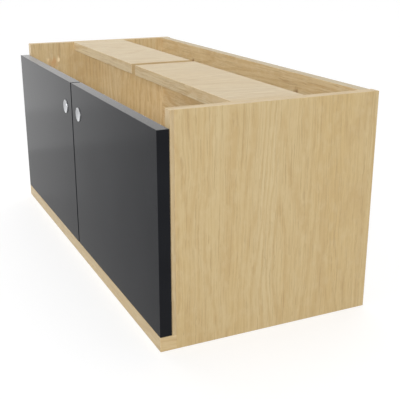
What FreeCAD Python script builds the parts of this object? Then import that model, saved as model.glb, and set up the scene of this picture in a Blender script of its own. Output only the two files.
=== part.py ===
import FreeCAD, Part
import os

# A low two-door cabinet. +X runs to the right seen from the front, +Y to the back, +Z up.
# The origin is the middle of the base. All lengths are in millimetres.

# Carcass
cabinet_width = 800
cabinet_height = 345
carcass_depth = 330
side_thickness = 18
back_thickness = 18
back_inset = 4
bottom_thickness = 22
lipping_depth = 6
board_edge_radius = 0.6

# Top rails and the cleat that joins them
rail_thickness = 18
rail_depth = 116.1
rail_setback = 97.3
rail_slot = 18
cleat_width = 50
cleat_thickness = 9
cleat_inset = 22

# Doors
door_thickness = 18
door_gap = 1.1
door_side_inset = 0.5
door_meeting_gap = 5
door_bottom_gap = 0.7
door_top_drop = 24.5
door_edge_radius = 0.4

# Dowels
dowel_radius = 4
dowel_length = 30
dowel_in_face = 12
dowel_fit = 0.1
dowel_end_room = 1
dowel_end_chamfer = 1
depth_dowel_shares = (0.14, 0.5, 0.86)
height_dowel_shares = (0.2, 0.5, 0.8)
rail_dowel_shares = (0.25, 0.75)
strip_dowel_shares = (0.08, 0.36, 0.64, 0.92)

# Concealed hinges: places
hinge_end_distance = 60
hinge_plate_setback = 37

# Concealed hinges: cup, let into the back of the door
cup_radius = 17.4
cup_depth = 12
cup_wall = 1
cup_edge_distance = 3.6
cup_fit = 0.1
cup_floor_room = 0.2
flange_thickness = 0.6
flange_lip = 1.1
flange_wing_length = 54
flange_wing_width = 13
flange_corner_radius = 4
flange_screw_spacing = 45
flange_screw_offset = 9.5
ear_inner_gap = 12
ear_thickness = 3
ear_reach = 2.4

# Concealed hinges: link and its pin in the cup
pin_radius = 1.3
pin_seat_fit = 0.03
pin_running_fit = 0.06
pin_wall_distance = 3.9
pin_depth = 6.6
link_width = 10
link_thickness = 1.8
link_eye_radius = 2
link_bow = 6.5
link_overrun = 1.3

# Concealed hinges: arm and mounting plate on the side panel
arm_pivot_height = 12.5
arm_pivot_gap = 1.8
arm_nose_radius = 3.2
arm_metal = 1.4
arm_channel = 11.8
arm_length = 58
arm_web_setback = 7
arm_foot_height = 3.5
arm_taper_length = 24
rivet_radius = 2.2
rivet_height = 0.7
plate_thickness = 2.5
plate_height = 48
plate_width = 17
plate_corner_radius = 4
saddle_width = 10.8
saddle_length = 34
plate_screw_spacing = 32
arm_screw_setback = 10

# Screws
screw_head_radius = 3.6
screw_head_height = 1.7
screw_head_rounding = 0.85
screw_shank_radius = 1.75
screw_fit = 0.1
screw_tip_length = 2
screw_end_room = 1
drive_length = 4.2
drive_width = 0.9
drive_depth = 0.9
plate_screw_length = 15
cup_screw_length = 13
arm_screw_length = 11
cleat_screw_length = 22

# Knobs
knob_radius = 12
knob_height = 1.4
knob_edge_radius = 0.6
knob_dish_radius = 10.4
knob_dish_depth = 2.2
knob_seat_radius = 10.8
knob_seat_depth = 3
knob_from_edge = 37.2
knob_from_top = 48.6
knob_spigot_radius = 5
knob_spigot_length = 9
knob_fit = 0.1
knob_screw_length = 15

# Cuts run past the faces that they break through by this much
overrun = 5

# Worked out from the sizes above
total_depth = door_thickness + door_gap + carcass_depth
left_x = -cabinet_width / 2
front_y = -total_depth / 2
carcass_front = door_thickness + door_gap
lipping_back = carcass_front + lipping_depth
back_outer = total_depth - back_inset
back_inner = back_outer - back_thickness
middle = cabinet_width / 2
door_inner_edge = middle - door_meeting_gap / 2
door_bottom = bottom_thickness + door_bottom_gap
door_top = cabinet_height - door_top_drop
rail_front = carcass_front + rail_setback
rail_back = rail_front + rail_depth
rail_underside = cabinet_height - rail_thickness
rail_inner_end = middle - rail_slot / 2
cleat_underside = rail_underside - cleat_thickness
hinge_levels = {"upper": door_top - hinge_end_distance, "lower": door_bottom + hinge_end_distance}
cup_bore_radius = cup_radius + cup_fit
cup_u = door_side_inset + cup_edge_distance + cup_bore_radius
cavity_radius = cup_radius - cup_wall
cup_floor = door_thickness - cup_depth + cup_wall
flange_top = door_thickness + flange_thickness
flange_screw_u = cup_u + flange_screw_offset
pin_u = cup_u - cavity_radius + pin_wall_distance
pin_v = door_thickness - pin_depth
pin_length = ear_inner_gap + ear_thickness + ear_thickness
arm_u = side_thickness + arm_pivot_height
arm_v = door_thickness + arm_pivot_gap
arm_back = arm_v + arm_length
arm_web_outer = arm_u + arm_nose_radius
arm_web_inner = arm_web_outer - arm_metal
arm_web_front = arm_v + arm_web_setback
plate_v = carcass_front + hinge_plate_setback
knob_u = door_inner_edge - knob_from_edge
knob_z = door_top - knob_from_top

up = FreeCAD.Vector(0, 0, 1)
inward = FreeCAD.Vector(1, 0, 0)
backward = FreeCAD.Vector(0, 1, 0)


def at(u, v, z):
    """A point given by its distance u from the left outer face and v from the doors' front plane."""
    return FreeCAD.Vector(left_x + u, front_y + v, z)


def block(u_from, u_to, v_from, v_to, z_from, z_to):
    return Part.makeBox(u_to - u_from, v_to - v_from, z_to - z_from, at(u_from, v_from, z_from))


def eased(solid, radius):
    """Take the sharpness off every edge."""
    return solid.makeFillet(radius, solid.Edges)


def board(*limits):
    return eased(block(*limits), board_edge_radius)


def rod(start, direction, radius, length):
    return Part.makeCylinder(radius, length, start, direction)


def cut(solid, tools):
    return solid.cut(tools).Solids[0]


def joined(first, others):
    return first.fuse(others).removeSplitter().Solids[0]


def mirrored(shape):
    return shape.mirror(FreeCAD.Vector(0, 0, 0), inward)


def raised(shape, height):
    return shape.translated(up * height)


def raised_point(point, height):
    return point + up * height


def prism(points, height):
    """An upright prism, centred on z = 0, over corners given as (u, v)."""
    corners = [at(u, v, -height / 2) for u, v in points]
    return Part.Face(Part.makePolygon(corners + corners[:1])).extrude(up * height)


def turned(shape, position, direction):
    """Move a shape that points along +Z so that it points along the direction given."""
    placed = shape.copy()
    placed.Placement = FreeCAD.Placement(position, FreeCAD.Rotation(up, direction))
    return placed


def screw(seat, direction, length):
    """A pan-head screw whose head rests on the seat and whose shank runs along the direction."""
    origin = FreeCAD.Vector(0, 0, 0)
    head = rod(-up * screw_head_height, up, screw_head_radius, screw_head_height)
    top_edge = min(head.Edges, key=lambda edge: edge.BoundBox.ZMax)
    head = head.makeFillet(screw_head_rounding, [top_edge])
    shank = rod(origin, up, screw_shank_radius, length - screw_tip_length)
    tip = Part.makeCone(screw_shank_radius, 0, screw_tip_length, up * (length - screw_tip_length), up)
    drive = []
    for along, across in ((drive_length, drive_width), (drive_width, drive_length)):
        corner = FreeCAD.Vector(-along / 2, -across / 2, -screw_head_height - overrun)
        drive.append(Part.makeBox(along, across, drive_depth + overrun, corner))
    return turned(cut(joined(head, [shank, tip]), drive), seat, direction)


def screw_hole(seat, direction, length):
    start = seat - direction * overrun
    return rod(start, direction, screw_shank_radius + screw_fit, length + overrun + screw_end_room)


def dowel(seam, direction):
    """A dowel across a seam; the direction runs from the drilled face into the board's end."""
    solid = rod(seam - direction * dowel_in_face, direction, dowel_radius, dowel_length)
    rims = [edge for edge in solid.Edges if len(edge.Vertexes) == 1]
    return solid.makeChamfer(dowel_end_chamfer, rims)


def dowel_hole(seam, direction):
    start = seam - direction * (dowel_in_face + dowel_end_room)
    return rod(start, direction, dowel_radius + dowel_fit, dowel_length + dowel_end_room + dowel_end_room)


def share_between(low, high, shares):
    return [low + (high - low) * share for share in shares]


# Places of the dowels on the left; the right side is its mirror image
bottom_seams = [at(side_thickness, v, bottom_thickness / 2)
                for v in share_between(lipping_back, back_inner, depth_dowel_shares)]
back_seams = [at(side_thickness, back_inner + back_thickness / 2, z)
              for z in share_between(0, cabinet_height, height_dowel_shares)]
rail_seams = [at(side_thickness, v, cabinet_height - rail_thickness / 2)
              for v in share_between(rail_front, rail_back, rail_dowel_shares)]
strip_seams = [at(u, lipping_back, bottom_thickness / 2)
               for u in share_between(side_thickness, cabinet_width - side_thickness, strip_dowel_shares)]
plate_screw_seats = [at(side_thickness + plate_thickness, plate_v, z + offset)
                     for z in hinge_levels.values()
                     for offset in (-plate_screw_spacing / 2, plate_screw_spacing / 2)]


def side_panel():
    solid = board(0, side_thickness, lipping_back, total_depth, 0, cabinet_height)
    holes = [dowel_hole(seam, inward) for seam in bottom_seams + back_seams + rail_seams]
    holes += [screw_hole(seat, -inward, plate_screw_length) for seat in plate_screw_seats]
    return cut(solid, holes)


def front_lipping():
    return board(0, side_thickness, carcass_front, lipping_back, bottom_thickness, cabinet_height)


def both_ends(seams):
    """Dowel holes at the left end of a board and, mirrored, at its right end."""
    holes = [dowel_hole(seam, inward) for seam in seams]
    return holes + [mirrored(hole) for hole in holes]


def bottom_panel():
    solid = board(side_thickness, cabinet_width - side_thickness,
                  lipping_back, back_inner, 0, bottom_thickness)
    return cut(solid, both_ends(bottom_seams) + [dowel_hole(seam, backward) for seam in strip_seams])


def bottom_front_strip():
    solid = board(0, cabinet_width, 0, lipping_back, 0, bottom_thickness)
    return cut(solid, [dowel_hole(seam, backward) for seam in strip_seams])


def back_panel():
    solid = board(side_thickness, cabinet_width - side_thickness,
                  back_inner, back_outer, 0, cabinet_height)
    return cut(solid, both_ends(back_seams))


cleat_half_seat = (cleat_width + rail_slot) / 4
cleat_screw_seats = [at(middle - cleat_half_seat, v, cleat_underside)
                     for v in share_between(rail_front, rail_back, rail_dowel_shares)]


def top_rail():
    solid = board(side_thickness, rail_inner_end, rail_front, rail_back, rail_underside, cabinet_height)
    holes = [dowel_hole(seam, inward) for seam in rail_seams]
    holes += [screw_hole(seat, up, cleat_screw_length) for seat in cleat_screw_seats]
    return cut(solid, holes)


def rail_joining_cleat():
    solid = board(middle - cleat_width / 2, middle + cleat_width / 2,
                  rail_front + cleat_inset, rail_back - cleat_inset, cleat_underside, rail_underside)
    holes = [screw_hole(seat, up, cleat_screw_length) for seat in cleat_screw_seats]
    return cut(solid, holes + [mirrored(hole) for hole in holes])


flange_screw_seats = [at(flange_screw_u, flange_top, offset)
                      for offset in (-flange_screw_spacing / 2, flange_screw_spacing / 2)]
knob_screw_seat = at(knob_u, door_thickness, knob_z)


def door_panel():
    solid = eased(block(door_side_inset, door_inner_edge, 0, door_thickness, door_bottom, door_top),
                  door_edge_radius)
    bore_depth = cup_depth + cup_floor_room
    tools = [rod(at(knob_u, -overrun, knob_z), backward, knob_seat_radius + knob_fit,
                 overrun + knob_seat_depth + knob_fit),
             rod(at(knob_u, -overrun, knob_z), backward, knob_spigot_radius + knob_fit,
                 overrun + knob_spigot_length + knob_fit),
             screw_hole(knob_screw_seat, -backward, knob_screw_length)]
    for z in hinge_levels.values():
        tools.append(rod(at(cup_u, door_thickness - bore_depth, z), backward, cup_bore_radius,
                         bore_depth + overrun))
        tools += [screw_hole(raised_point(seat, z), -backward, cup_screw_length)
                  for seat in flange_screw_seats]
    return cut(solid, tools)


def knob():
    """A low round knob with a rounded rim and a dish, let into the door on a seat and a spigot."""
    disc = rod(at(knob_u, -knob_height, knob_z), backward, knob_radius, knob_height)
    front_rim = min(disc.Edges, key=lambda edge: edge.BoundBox.YMax)
    disc = disc.makeFillet(knob_edge_radius, [front_rim])
    ball_radius = (knob_dish_radius ** 2 + knob_dish_depth ** 2) / (2 * knob_dish_depth)
    ball = Part.makeSphere(ball_radius, at(knob_u, knob_dish_depth - knob_height - ball_radius, knob_z))
    seat = rod(at(knob_u, 0, knob_z), backward, knob_seat_radius, knob_seat_depth)
    spigot = rod(at(knob_u, 0, knob_z), backward, knob_spigot_radius, knob_spigot_length)
    hole = screw_hole(knob_screw_seat, -backward, knob_screw_length)
    return cut(joined(disc, [seat, spigot]), [ball, hole])


def hinge_pin():
    return rod(at(pin_u, pin_v, -pin_length / 2), up, pin_radius, pin_length)


def hinge_cup():
    """The cup, its flange on the door's back and two ears that carry the link's pin."""
    outer = rod(at(cup_u, door_thickness - cup_depth, 0), backward, cup_radius, cup_depth)
    rim = rod(at(cup_u, door_thickness, 0), backward, cup_radius + flange_lip, flange_thickness)
    wing = block(flange_screw_u - flange_wing_width / 2, flange_screw_u + flange_wing_width / 2,
                 door_thickness, flange_top, -flange_wing_length / 2, flange_wing_length / 2)
    corners = [edge for edge in wing.Edges if edge.BoundBox.YLength > flange_thickness / 2]
    wing = wing.makeFillet(flange_corner_radius, corners)
    cavity = rod(at(cup_u, cup_floor, 0), backward, cavity_radius, cup_depth + overrun)
    shell = cut(joined(outer, [rim, wing]), [cavity])
    ears = []
    for z_from in (ear_inner_gap / 2, -ear_inner_gap / 2 - ear_thickness):
        ear = block(cup_u - cup_radius, pin_u + ear_reach, cup_floor - cup_wall / 2, pin_v + ear_reach,
                    z_from, z_from + ear_thickness)
        ears.append(ear.common(outer))
    holes = [screw_hole(seat, -backward, cup_screw_length) for seat in flange_screw_seats]
    holes.append(rod(at(pin_u, pin_v, -pin_length / 2), up, pin_radius + pin_seat_fit, pin_length))
    return cut(joined(shell, ears), holes)


def hinge_link():
    """A bowed strap from the pin in the cup to the nose of the arm, with an eye at each end."""
    pin_point = at(pin_u, pin_v, 0)
    toward_arm = (at(arm_u, arm_v, 0) - pin_point).normalize()
    chord = (at(arm_u, arm_v, 0) - pin_point).Length + link_overrun
    free_point = pin_point + toward_arm * chord
    bow_side = FreeCAD.Vector(toward_arm.y, -toward_arm.x, 0)
    bow_point = pin_point + toward_arm * (chord / 2) + bow_side * link_bow
    radius = (chord ** 2 / 4 + link_bow ** 2) / (2 * link_bow)
    centre = bow_point - bow_side * radius
    edges = []
    ends = []
    for arc_radius in (radius - link_thickness / 2, radius + link_thickness / 2):
        scale = arc_radius / radius
        first, bend, last = [centre + (point - centre) * scale
                             for point in (pin_point, bow_point, free_point)]
        edges.append(Part.Arc(first, bend, last).toShape())
        ends.append((first, last))
    edges += [Part.makeLine(inner, outer) for inner, outer in zip(*ends)]
    strap = Part.Face(Part.Wire(Part.__sortEdges__(edges))).extrude(up * link_width)
    eyes = [rod(point, up, link_eye_radius, link_width) for point in (pin_point, free_point)]
    bores = [rod(point - up * overrun, up, pin_radius + pin_running_fit, link_width + overrun + overrun)
             for point in (pin_point, free_point)]
    return raised(cut(joined(strap, eyes), bores), -link_width / 2)


arm_height = arm_channel + arm_metal + arm_metal
arm_screw_seat = at(arm_web_outer, arm_back - arm_screw_setback, 0)


def hinge_arm():
    """A channel over the saddle of the mounting plate, with a rounded nose at the link."""
    foot = side_thickness + arm_foot_height
    outline = [(foot, arm_back), (foot, arm_v + arm_taper_length), (arm_u - arm_nose_radius, arm_v),
               (arm_web_outer, arm_v), (arm_web_outer, arm_back)]
    nose = rod(at(arm_u, arm_v, -arm_height / 2), up, arm_nose_radius, arm_height)
    rivet_length = arm_height + rivet_height + rivet_height
    rivet = rod(at(arm_u, arm_v, -rivet_length / 2), up, rivet_radius, rivet_length)
    solid = joined(prism(outline, arm_height), [nose, rivet])
    front = arm_v - arm_nose_radius - overrun
    channel = block(foot - overrun, arm_web_inner, front, arm_back + overrun,
                    -arm_channel / 2, arm_channel / 2)
    mouth = block(foot - overrun, arm_web_outer + overrun, front, arm_web_front,
                  -arm_channel / 2, arm_channel / 2)
    return cut(solid, [channel, mouth, screw_hole(arm_screw_seat, -inward, arm_screw_length)])


def mounting_plate():
    """A wing plate on the side panel with a saddle that the arm is screwed to."""
    wings = block(side_thickness, side_thickness + plate_thickness,
                  plate_v - plate_width / 2, plate_v + plate_width / 2, -plate_height / 2, plate_height / 2)
    corners = [edge for edge in wings.Edges if edge.BoundBox.XLength > plate_thickness / 2]
    wings = wings.makeFillet(plate_corner_radius, corners)
    saddle = block(side_thickness, arm_web_inner, arm_back - saddle_length, arm_back,
                   -saddle_width / 2, saddle_width / 2)
    holes = [screw_hole(arm_screw_seat, -inward, arm_screw_length)]
    for offset in (-plate_screw_spacing / 2, plate_screw_spacing / 2):
        holes.append(screw_hole(at(side_thickness + plate_thickness, plate_v, offset), -inward,
                                plate_screw_length))
    return cut(joined(wings, [saddle]), holes)


def left_and_right(shapes):
    return Part.makeCompound(shapes + [mirrored(shape) for shape in shapes])


nodes = {
    "bottom_panel": bottom_panel(),
    "bottom_front_strip": bottom_front_strip(),
    "back_panel": back_panel(),
    "rail_joining_cleat": rail_joining_cleat(),
    "bottom_dowels": left_and_right([dowel(seam, inward) for seam in bottom_seams]),
    "back_dowels": left_and_right([dowel(seam, inward) for seam in back_seams]),
    "rail_dowels": left_and_right([dowel(seam, inward) for seam in rail_seams]),
    "strip_dowels": Part.makeCompound([dowel(seam, backward) for seam in strip_seams]),
    "cleat_screws": left_and_right([screw(seat, up, cleat_screw_length) for seat in cleat_screw_seats]),
    "mounting_plate_screws": left_and_right([screw(seat, -inward, plate_screw_length)
                                             for seat in plate_screw_seats]),
    "hinge_arm_screws": left_and_right([screw(raised_point(arm_screw_seat, z), -inward, arm_screw_length)
                                        for z in hinge_levels.values()]),
}

# Pieces that come in a left and a right version
paired = {
    "side_panel": side_panel(),
    "front_lipping": front_lipping(),
    "top_rail": top_rail(),
    "door_panel": door_panel(),
    "knob": knob(),
    "knob_screw": screw(knob_screw_seat, -backward, knob_screw_length),
    "hinge_pins": Part.makeCompound([raised(hinge_pin(), z) for z in hinge_levels.values()]),
    "cup_screws": Part.makeCompound([screw(raised_point(seat, z), -backward, cup_screw_length)
                                     for z in hinge_levels.values() for seat in flange_screw_seats]),
}
hinge_pieces = {
    "hinge_cup": hinge_cup(),
    "hinge_link": hinge_link(),
    "hinge_arm": hinge_arm(),
    "mounting_plate": mounting_plate(),
}
for level, z in hinge_levels.items():
    for name, shape in hinge_pieces.items():
        paired[level + "_" + name] = raised(shape, z)
for name, shape in paired.items():
    nodes["left_" + name] = shape
    nodes["right_" + name] = mirrored(shape)

os.makedirs("parts", exist_ok=True)
for name, shape in nodes.items():
    shape.exportStep("parts/" + name + ".step")
    print(name, len(shape.Solids), round(shape.Volume), shape.isValid())
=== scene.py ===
import math

import bmesh
import bpy
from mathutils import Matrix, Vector


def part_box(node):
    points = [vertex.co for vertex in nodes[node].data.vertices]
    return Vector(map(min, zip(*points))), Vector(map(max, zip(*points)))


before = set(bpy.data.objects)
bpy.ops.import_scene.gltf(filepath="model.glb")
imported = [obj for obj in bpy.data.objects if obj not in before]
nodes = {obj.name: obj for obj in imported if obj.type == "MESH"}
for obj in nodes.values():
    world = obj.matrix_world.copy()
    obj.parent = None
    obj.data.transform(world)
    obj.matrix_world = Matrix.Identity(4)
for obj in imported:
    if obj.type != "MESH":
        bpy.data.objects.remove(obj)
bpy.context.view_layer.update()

# The photograph's viewpoint, in metres, degrees and millimetres of lens
camera_place = (1.2627, -0.5167, 0.5371)
camera_azimuth = 64.933
camera_elevation = 18.507
camera_lens = 66.87
camera_sensor = 36

# The floor, in metres, its grey on screen, and the share of white that it adds where it is seen
floor_radius = 9
floor_sides = 64
floor_drop = 0.0003
floor_grey = (190, 190, 190)
floor_glow = 0.54

# Plain white, for the floor's glow and the surround
white = (1, 1, 1, 1)

# Light, in degrees; a level is the share of its written colour that a face turned to the lamp shows
sky_level = 0.30
lamps = {
    "right_lamp": {"azimuth": 80, "elevation": 12, "spread": 3, "level": 0.30, "shadow": False},
    "low_front_lamp": {"azimuth": 10, "elevation": 22, "spread": 8, "level": 0.48, "shadow": False},
    "front_lamp": {"azimuth": -10, "elevation": 45, "spread": 50, "level": 0.10, "shadow": True},
    "rear_left_lamp": {"azimuth": 245, "elevation": 55, "spread": 60, "level": 0.32, "shadow": True},
}
fill_level = 0.30
fill_radius = 0.04

# Upright panels of light on the left, in metres and watts: width and height, and the way that they shine
softbox_size = (1.1, 0.9)
softbox_direction = (1, 0, 0)
softboxes = {
    "far_softbox": {"place": (-1.35, -0.75, 0.45), "watts": 1.2},
    "near_softbox": {"place": (-0.8, -0.77, 0.45), "watts": 1.1},
}

# The stretch that most of a noise's values lie in, and the one over which one colour turns into another
noise_span = (0.3, 0.7)
colour_span = (0.35, 0.65)

# Oak, as it looks on screen
oak_pale = (208, 187, 146)
oak_plain = (202, 179, 136)
oak_amber = (201, 173, 122)
oak_warm = (193, 165, 118)
oak_pore = (168, 139, 96)

# Patterns in oak: counts per metre across and along the grain, and how detailed and how rough the noise is
oak_patterns = {
    "wander": {"across": 7, "along": 6, "detail": 5, "roughness": 0.65},
    "tones": {"across": 14, "along": 1.6, "detail": 3, "roughness": 0.55},
    "bands": {"across": 9, "along": 1, "detail": 2, "roughness": 0.5},
    "figure": {"across": 7, "along": 0.8, "detail": 2, "roughness": 0.5},
    "fibres": {"across": 420, "along": 2.2, "detail": 3, "roughness": 0.6},
    "flecks": {"across": 110, "along": 60, "detail": 2, "roughness": 0.5},
    "pores": {"across": 560, "along": 12, "detail": 2, "roughness": 0.5},
}

# How far the grain wanders sideways, in metres, and how many growth lines the figure has from low to high
wander_width = 0.014
growth_lines = 26

# Colours laid over plain oak in turn: the values where each starts and is full, and the most that shows
oak_layers = {
    "tones": {"colour": oak_pale, "start": 0.38, "full": 0.62, "most": 1},
    "bands": {"colour": oak_amber, "start": 0.4, "full": 0.62, "most": 0.8},
    "figure": {"colour": oak_warm, "start": 0.2, "full": 1, "most": 0.75},
    "fibres": {"colour": oak_warm, "start": 0.42, "full": 0.68, "most": 0.7},
    "flecks": {"colour": oak_pale, "start": 0.45, "full": 0.7, "most": 0.4},
    "pores": {"colour": oak_pore, "start": 0.52, "full": 0.7, "most": 0.5},
}

# The oak's satin, and its pores as dents: where their pattern cuts, how strongly, and the depth in metres
oak_roughness = (0.42, 0.52)
pore_cut = (0.56, 0.7)
pore_strength = 0.25
pore_depth = 0.0002

# Knots and the pale figure beside one, then dark spots on the back: middle and reach each way, in metres,
# and colour on screen
left_knots = (
    {"middle": (-0.382, -0.108, 0.303), "reach": (0.01, 0.014, 0.013), "colour": (190, 152, 104)},
    {"middle": (-0.382, -0.1185, 0.3095), "reach": (0.006, 0.0035, 0.007), "colour": (216, 193, 150)},
    {"middle": (-0.382, -0.0955, 0.3085), "reach": (0.006, 0.005, 0.008), "colour": (232, 211, 172)},
)
# On the back, the first spot is painted shade where the slot between the rails opens onto the back panel;
# the second is a small dark spot
back_dark_spots = (
    {"middle": (-0.2033, 0.1516, 0.3138), "reach": (0.009, 0.006, 0.007), "colour": (142, 112, 75)},
    {"middle": (0.2101, 0.1516, 0.3143), "reach": (0.009, 0.006, 0.007), "colour": (142, 112, 75)},
)

# The uneven rim of each knot and painted shade spot: its noise's counts per metre, detail and swing; then
# how much of the reach has the spot's full colour
spot_rim_counts = (260, 260, 120)
spot_rim_detail = 2
spot_rim_swing = 0.45
spot_core = 0.2

# Each oak face: the way of its grain, where in the pattern it starts, its tint, which paints shade on some
# faces and sheen on others, its figure's strength, and its knots and painted shade spots
oak_faces = {
    "oak_right_side": {"grain": "Z", "start": 3.6, "tint_and_painted_light": (0.976, 0.978, 0.962)},
    # Painted shade: the left side is drawn a little darker and cooler than the right, for the shade on its
    # inner face
    "oak_left_side": {"grain": "Z", "start": 2.7, "tint_and_painted_light": (0.96, 0.965, 0.97), "contrast": 1.3,
                      "knots_and_shade_spots": left_knots},
    "oak_side_top": {"grain": "Y", "start": 4.9, "tint_and_painted_light": (0.98, 0.98, 0.97)},
    "oak_lipping": {"grain": "Z", "start": 10.3, "tint_and_painted_light": (0.945, 0.957, 0.995)},
    # Painted shade: the back is drawn a little darker and cooler than plain oak, for the shade on its
    # inner face
    "oak_back": {"grain": "X", "start": 8.3, "tint_and_painted_light": (0.97, 0.97, 0.985), "contrast": 1.4,
                 "knots_and_shade_spots": back_dark_spots},
    "oak_back_top": {"grain": "X", "start": 4.4, "tint_and_painted_light": (0.9, 0.925, 0.955)},
    # Painted sheen: the rail tops are drawn paler and cooler than plain oak
    "oak_rail_top": {"grain": "Y", "start": 4.9, "tint_and_painted_light": (0.985, 1.0, 1.03)},
    # Painted light: the rail fronts are drawn paler and cooler than plain oak, for the light that falls on
    # them
    "oak_rail_front": {"grain": "X", "start": 9.9, "tint_and_painted_light": (1.0, 1.015, 1.065), "contrast": 1.3},
    # Painted shade: the rails' ends, which face each other across the slot, are drawn darker
    "oak_rail_end": {"grain": "Y", "start": 7.1, "tint_and_painted_light": (0.92, 0.91, 0.9)},
    "oak_bottom": {"grain": "X", "start": 8.9},
    # Painted shade: the bottom front strip is drawn darker and cooler, against the strong light on its
    # front
    "oak_strip": {"grain": "X", "start": 9.7, "tint_and_painted_light": (0.915, 0.93, 0.96)},
    "oak_end": {"grain": "Y", "start": 6.7},
}

# The doors' lacquer: colours on screen, counts per metre of its clouds and fine orange peel, and its satin
lacquer_deep = (28, 29, 32)
lacquer_soft = (32, 33, 36)
lacquer_clouds = 9
lacquer_peel = 900
lacquer_detail = 2
lacquer_roughness_rise = 0.04
lacquer_bump = 0.03
lacquer_bump_depth = 0.0002
lacquers = {
    "anthracite_lacquer": {"roughness": 0.16, "gloss": 0.0265, "sheen": 0.0},
    "anthracite_edge": {"roughness": 0.24, "gloss": 0.02, "sheen": 0.52},
}

# How tightly the doors' cut edges keep their sheen to low angles
sheen_roughness = 0.3

# The knobs' silver: colours on screen, and the fine rings that the lathe left
silver_deep = (160, 161, 164)
silver_bright = (176, 177, 179)
silver_ring_scale = 480
silver_ring_wobble = 1.5
silver_ring_detail = 2
silver_ring_detail_scale = 2
silver_roughness = (0.34, 0.42)
silver_bump = 0.08
silver_bump_depth = 0.0001

# Plated steel: colours on screen, and counts per metre of the clouds in the plating
platings = {
    "nickel_plate": {"bright": (205, 203, 198), "dull": (188, 186, 182), "roughness": 0.24},
    "zinc_plate": {"bright": (190, 193, 198), "dull": (168, 171, 177), "roughness": 0.32},
}
plating_clouds = 160
plating_detail = 3
plating_cloud_roughness = 0.6
plating_roughness_rise = 0.1

# Beech for the dowels: colours on screen, and its flecks, counted per metre across and along
beech_pale = (211, 180, 138)
beech_warm = (193, 156, 112)
beech_flecks = {"across": 420, "along": 60, "detail": 3, "roughness": 0.6}
beech_roughness = (0.6, 0.7)


def screen_colour(red, green, blue):
    """A colour as it looks on screen, 0 to 255, made linear for a shader by the usual screen curve."""
    return tuple(((value / 255 + 0.055) / 1.055) ** 2.4 for value in (red, green, blue)) + (1,)


def fill_in(tree, node, inputs):
    """Join each input that is given as another node's output, and set any other."""
    for name, value in inputs.items():
        if isinstance(value, bpy.types.NodeSocket):
            tree.links.new(value, node.inputs[name])
        else:
            node.inputs[name].default_value = value


def add_node(tree, kind, inputs=None, **settings):
    """Add a shader node with its settings and inputs."""
    made = tree.nodes.new("ShaderNode" + kind)
    for name, value in settings.items():
        setattr(made, name, value)
    fill_in(tree, made, inputs or {})
    return made


def blend(tree, share, first, second):
    """Mix two colours by a share that is a number or a node's output."""
    made = add_node(tree, "Mix", {"Factor": share}, data_type="RGBA")
    sockets = [index for index, socket in enumerate(made.inputs) if socket.type == "RGBA"]
    fill_in(tree, made, dict(zip(sockets, (first, second))))
    return next(socket for socket in made.outputs if socket.type == "RGBA")


def spread(tree, value, low, high, to_low=0, to_high=1):
    """Stretch a pattern's values from low to high over another range, without going past its ends."""
    return add_node(tree, "MapRange", {"Value": value, "From Min": low, "From Max": high,
                                       "To Min": to_low, "To Max": to_high}).outputs["Result"]


def calculate(tree, operation, *values):
    """The result of one step of arithmetic on numbers or nodes' outputs."""
    return add_node(tree, "Math", dict(enumerate(values)), operation=operation).outputs["Value"]


def bump(tree, height, strength, depth, invert=False):
    """How a height pattern tilts the surface; its depth is in metres."""
    return add_node(tree, "Bump", {"Height": height, "Strength": strength, "Distance": depth},
                    invert=invert).outputs["Normal"]


def noise(tree, place, detail, roughness=0.5, output="Fac"):
    """A cloudy pattern with about one cloud in each unit of the place."""
    return add_node(tree, "TexNoise", {"Vector": place, "Scale": 1.0, "Detail": detail,
                                       "Roughness": roughness}).outputs[output]


def new_finish(name):
    """A new material, its nodes and its surface shader."""
    material = bpy.data.materials.new(name)
    material.use_nodes = True
    tree = material.node_tree
    return material, tree, tree.nodes["Principled BSDF"]


def piece_place(tree):
    """The place on the piece, in metres of the shared frame."""
    return add_node(tree, "TexCoord").outputs["Object"]


def stretched_place(tree, scale, shift=(0, 0, 0), place=None):
    """A place stretched and moved for a pattern; scale is counts per metre along X, Y and Z."""
    return add_node(tree, "Mapping", {"Vector": place or piece_place(tree), "Location": shift,
                                      "Scale": scale}).outputs["Vector"]


def even_noise(tree, count, detail, roughness=0.5):
    """A cloudy pattern that is alike in every direction, with its count per metre."""
    return noise(tree, stretched_place(tree, (count, count, count)), detail, roughness)


def grain_noise(tree, facts, grain, shift=(0, 0, 0), place=None, output="Fac"):
    """A pattern that is drawn out along the grain of a piece of wood."""
    scale = [facts["along"] if axis == grain else facts["across"] for axis in "XYZ"]
    drawn_out = stretched_place(tree, scale, shift, place)
    return noise(tree, drawn_out, facts["detail"], facts["roughness"], output)


def wandering_place(tree, grain, shift):
    """The place on a board, moved to and fro by a few millimetres so that the grain wanders."""
    wander = grain_noise(tree, oak_patterns["wander"], grain, shift, output="Color")
    return add_node(tree, "VectorMath", {0: wander, 1: [wander_width] * 3, 2: piece_place(tree)},
                    operation="MULTIPLY_ADD").outputs["Vector"]


def growth_figure(tree, rise):
    """Growth lines, as the contours of a gently rising pattern."""
    return calculate(tree, "SINE", calculate(tree, "MULTIPLY", rise, growth_lines * 2 * math.pi))


def spot_share(tree, middle, reach):
    """One in the middle of a spot, falling to zero at its uneven rim; the spots are knots and painted
    shade.
    """
    scale = [1 / length for length in reach]
    shift = [-value * factor for value, factor in zip(middle, scale)]
    distance = add_node(tree, "VectorMath", {0: stretched_place(tree, scale, shift)},
                        operation="LENGTH").outputs["Value"]
    rim = noise(tree, stretched_place(tree, spot_rim_counts), spot_rim_detail)
    uneven = spread(tree, rim, *noise_span, -spot_rim_swing, spot_rim_swing)
    return spread(tree, calculate(tree, "ADD", distance, uneven), spot_core, 1, 1, 0)


def board_colour(colour, tint_and_painted_light, contrast):
    """An oak colour on one board: further from or nearer to plain oak, then tinted; on some faces the tint
    paints shade, on others sheen.
    """
    drawn = [plain + contrast * (value - plain) for value, plain in zip(colour, oak_plain)]
    return screen_colour(*[value * share for value, share in zip(drawn, tint_and_painted_light)])


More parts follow.
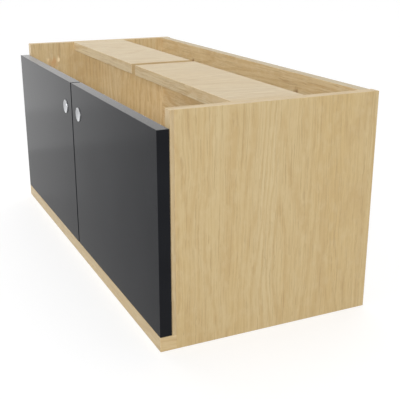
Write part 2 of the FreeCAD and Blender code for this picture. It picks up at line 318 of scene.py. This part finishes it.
def oak(name, grain, start, tint_and_painted_light=(1, 1, 1), contrast=1, knots_and_shade_spots=()):
    """Satin oak with its grain along one axis: tones, growth lines, fibres, flecks, pores, knots and
    painted shade spots, under a tint that on some faces paints shade and on others sheen.
    """
    material, tree, shader = new_finish(name)
    shift = (start, 2 * start, 3 * start)
    place = wandering_place(tree, grain, shift)
    patterns = {kind: grain_noise(tree, oak_patterns[kind], grain, shift, place) for kind in oak_layers}
    patterns["figure"] = growth_figure(tree, patterns["figure"])
    surface = board_colour(oak_plain, tint_and_painted_light, contrast)
    for kind, layer in oak_layers.items():
        share = spread(tree, patterns[kind], layer["start"], layer["full"], 0, layer["most"])
        surface = blend(tree, share, surface, board_colour(layer["colour"], tint_and_painted_light, contrast))
    for spot in knots_and_shade_spots:
        share = spot_share(tree, spot["middle"], spot["reach"])
        surface = blend(tree, share, surface, screen_colour(*spot["colour"]))
    pores = spread(tree, patterns["pores"], *pore_cut)
    fill_in(tree, shader, {"Base Color": surface,
                           "Roughness": spread(tree, patterns["fibres"], *noise_span, *oak_roughness),
                           "Normal": bump(tree, pores, pore_strength, pore_depth, invert=True)})
    return material


def dark_lacquer(name, roughness, gloss, sheen):
    """Satin anthracite lacquer: nearly black straight on, with a pale sheen at a low angle."""
    material, tree, shader = new_finish(name)
    clouds = spread(tree, even_noise(tree, lacquer_clouds, lacquer_detail), *colour_span)
    peel = even_noise(tree, lacquer_peel, lacquer_detail)
    roughness_range = (roughness, roughness + lacquer_roughness_rise)
    fill_in(tree, shader, {"Base Color": blend(tree, clouds, screen_colour(*lacquer_deep),
                                               screen_colour(*lacquer_soft)),
                           "Roughness": spread(tree, peel, *noise_span, *roughness_range),
                           "Specular IOR Level": gloss,
                           "Sheen Weight": sheen,
                           "Sheen Roughness": sheen_roughness,
                           "Normal": bump(tree, peel, lacquer_bump, lacquer_bump_depth)})
    return material


def spun_silver(name, middle):
    """Satin silver turned on a lathe, with fine rings round the knob's own middle."""
    material, tree, shader = new_finish(name)
    place = stretched_place(tree, (1, 1, 1), [-value for value in middle])
    rings = add_node(tree, "TexWave", {"Vector": place, "Scale": silver_ring_scale,
                                       "Distortion": silver_ring_wobble, "Detail": silver_ring_detail,
                                       "Detail Scale": silver_ring_detail_scale},
                     wave_type="RINGS", rings_direction="Y").outputs["Fac"]
    fill_in(tree, shader, {"Base Color": blend(tree, rings, screen_colour(*silver_deep),
                                               screen_colour(*silver_bright)),
                           "Metallic": 1,
                           "Roughness": spread(tree, rings, 0, 1, *silver_roughness),
                           "Normal": bump(tree, rings, silver_bump, silver_bump_depth)})
    return material


def plated_steel(name, bright, dull, roughness):
    """Plated steel with a slightly cloudy plating."""
    material, tree, shader = new_finish(name)
    clouds = even_noise(tree, plating_clouds, plating_detail, plating_cloud_roughness)
    roughness_range = (roughness, roughness + plating_roughness_rise)
    fill_in(tree, shader, {"Base Color": blend(tree, spread(tree, clouds, *colour_span),
                                               screen_colour(*dull), screen_colour(*bright)),
                           "Metallic": 1,
                           "Roughness": spread(tree, clouds, *noise_span, *roughness_range)})
    return material


def turned_beech():
    """Plain turned beech, with its grain along the dowels that join the sides."""
    material, tree, shader = new_finish("beech")
    flecks = grain_noise(tree, beech_flecks, "X")
    fill_in(tree, shader, {"Base Color": blend(tree, spread(tree, flecks, *colour_span),
                                               screen_colour(*beech_pale), screen_colour(*beech_warm)),
                           "Roughness": spread(tree, flecks, *noise_span, *beech_roughness)})
    return material


def dress(node_name, material):
    """One finish all over a CAD node."""
    mesh = nodes[node_name].data
    mesh.materials.clear()
    mesh.materials.append(material)


def dress_board(node_name, *finishes):
    """A finish for each direction that a board's faces look in: along X, along Y and along Z."""
    mesh = nodes[node_name].data
    mesh.materials.clear()
    for finish in finishes:
        mesh.materials.append(finish)
    for face in mesh.polygons:
        face.material_index = max(range(len(finishes)), key=lambda axis: abs(face.normal[axis]))


def dress_boards():
    """Oak on the carcass, with the grain of each face, and lacquer on the doors."""
    wood = {name: oak(name, **facts) for name, facts in oak_faces.items()}
    paint = {name: dark_lacquer(name, **facts) for name, facts in lacquers.items()}
    door_edge = paint["anthracite_edge"]
    for side in ("left_", "right_"):
        face = wood["oak_" + side + "side"]
        dress_board(side + "side_panel", face, face, wood["oak_side_top"])
        dress_board(side + "front_lipping", wood["oak_lipping"], wood["oak_lipping"], wood["oak_side_top"])
        dress_board(side + "top_rail", wood["oak_rail_end"], wood["oak_rail_front"], wood["oak_rail_top"])
        dress_board(side + "door_panel", door_edge, paint["anthracite_lacquer"], door_edge)
    dress_board("back_panel", wood["oak_end"], wood["oak_back"], wood["oak_back_top"])
    dress_board("bottom_panel", wood["oak_end"], wood["oak_back"], wood["oak_bottom"])
    dress_board("bottom_front_strip", wood["oak_end"], wood["oak_strip"], wood["oak_bottom"])
    dress_board("rail_joining_cleat", wood["oak_end"], wood["oak_rail_front"], wood["oak_bottom"])


def dress_fittings():
    """Silver knobs, nickel hinges, zinc screws and beech dowels."""
    steel = {name: plated_steel(name, **facts) for name, facts in platings.items()}
    beech = turned_beech()
    for name in nodes:
        if "dowel" in name:
            dress(name, beech)
        elif "screw" in name:
            dress(name, steel["zinc_plate"])
        elif "hinge" in name or "mounting_plate" in name:
            dress(name, steel["nickel_plate"])
    for side in ("left_", "right_"):
        low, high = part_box(side + "knob")
        dress(side + "knob", spun_silver(side + "spun_silver", (low + high) / 2))


def seen_share(tree):
    """One for rays from the camera, a mirror or glass, and zero for the rays that light the object."""
    path = add_node(tree, "LightPath")
    seen = path.outputs["Is Camera Ray"]
    for ray in ("Is Glossy Ray", "Is Transmission Ray"):
        seen = calculate(tree, "MAXIMUM", seen, path.outputs[ray])
    return seen


def make_floor():
    """A plain pale floor that looks white and still takes the cabinet's soft shadow."""
    mesh = bpy.data.meshes.new("floor")
    shape = bmesh.new()
    bmesh.ops.create_circle(shape, cap_ends=True, segments=floor_sides, radius=floor_radius)
    bmesh.ops.translate(shape, verts=shape.verts, vec=(0, 0, -floor_drop))
    shape.to_mesh(mesh)
    shape.free()
    floor = bpy.data.objects.new("floor", mesh)
    bpy.context.scene.collection.objects.link(floor)
    material, tree, shader = new_finish("pale_floor")
    fill_in(tree, shader, {"Base Color": screen_colour(*floor_grey),
                           "Roughness": 1,
                           "Specular IOR Level": 0,
                           "Emission Color": white,
                           "Emission Strength": calculate(tree, "MULTIPLY", seen_share(tree), floor_glow)})
    mesh.materials.append(material)


def make_sky():
    """An even white surround: plain white where it is seen, dimmer where it lights the object."""
    world = bpy.data.worlds.new("white_surround")
    bpy.context.scene.world = world
    world.use_nodes = True
    tree = world.node_tree
    strength = spread(tree, seen_share(tree), 0, 1, sky_level, 1)
    fill_in(tree, tree.nodes["Background"], {"Color": white, "Strength": strength})


def outward(azimuth, elevation):
    """The direction from the cabinet towards a viewpoint or a lamp, both angles in degrees."""
    azimuth, elevation = math.radians(azimuth), math.radians(elevation)
    return Vector((math.sin(azimuth) * math.cos(elevation), -math.cos(azimuth) * math.cos(elevation),
                   math.sin(elevation)))


def set_up(name, data, place, direction):
    """Stand a lamp or a camera at a place, looking in a direction."""
    thing = bpy.data.objects.new(name, data)
    thing.location = place
    thing.rotation_mode = "QUATERNION"
    thing.rotation_quaternion = direction.to_track_quat("-Z", "Y")
    bpy.context.scene.collection.objects.link(thing)
    return thing


def make_lamps():
    """Far lamps all round; pi watts on a square metre give a face its written colour."""
    for name, facts in lamps.items():
        light = bpy.data.lights.new(name, "SUN")
        light.angle = math.radians(facts["spread"])
        light.energy = facts["level"] * math.pi
        light.use_shadow = facts["shadow"]
        toward = outward(facts["azimuth"], facts["elevation"])
        set_up(name, light, toward, -toward)


def make_fill():
    """A lamp at the viewpoint, so that the open inside isn't dark; its light stays even with distance."""
    light = bpy.data.lights.new("camera_fill_lamp", "POINT")
    light.shadow_soft_size = fill_radius
    # 4 pi squared watts give a face its written colour at one metre
    light.energy = fill_level * 4 * math.pi ** 2
    light.use_nodes = True
    tree = light.node_tree
    even = add_node(tree, "LightFalloff", {"Strength": 1.0}).outputs["Constant"]
    fill_in(tree, tree.nodes["Emission"], {"Strength": even})
    set_up("camera_fill_lamp", light, camera_place, -outward(camera_azimuth, camera_elevation))


def make_softboxes():
    """Dim panels out of the camera's view, which the doors mirror, mostly in their upper left parts."""
    for name, facts in softboxes.items():
        light = bpy.data.lights.new(name, "AREA")
        light.shape = "RECTANGLE"
        light.size, light.size_y = softbox_size
        light.energy = facts["watts"]
        set_up(name, light, facts["place"], Vector(softbox_direction))


def make_camera():
    """The photograph's camera."""
    camera = bpy.data.cameras.new("camera")
    camera.lens = camera_lens
    camera.sensor_width = camera_sensor
    direction = -outward(camera_azimuth, camera_elevation)
    bpy.context.scene.camera = set_up("camera", camera, camera_place, direction)


dress_boards()
dress_fittings()
make_floor()
make_sky()
make_lamps()
make_fill()
make_softboxes()
make_camera()
bpy.context.scene.view_settings.view_transform = "Standard"
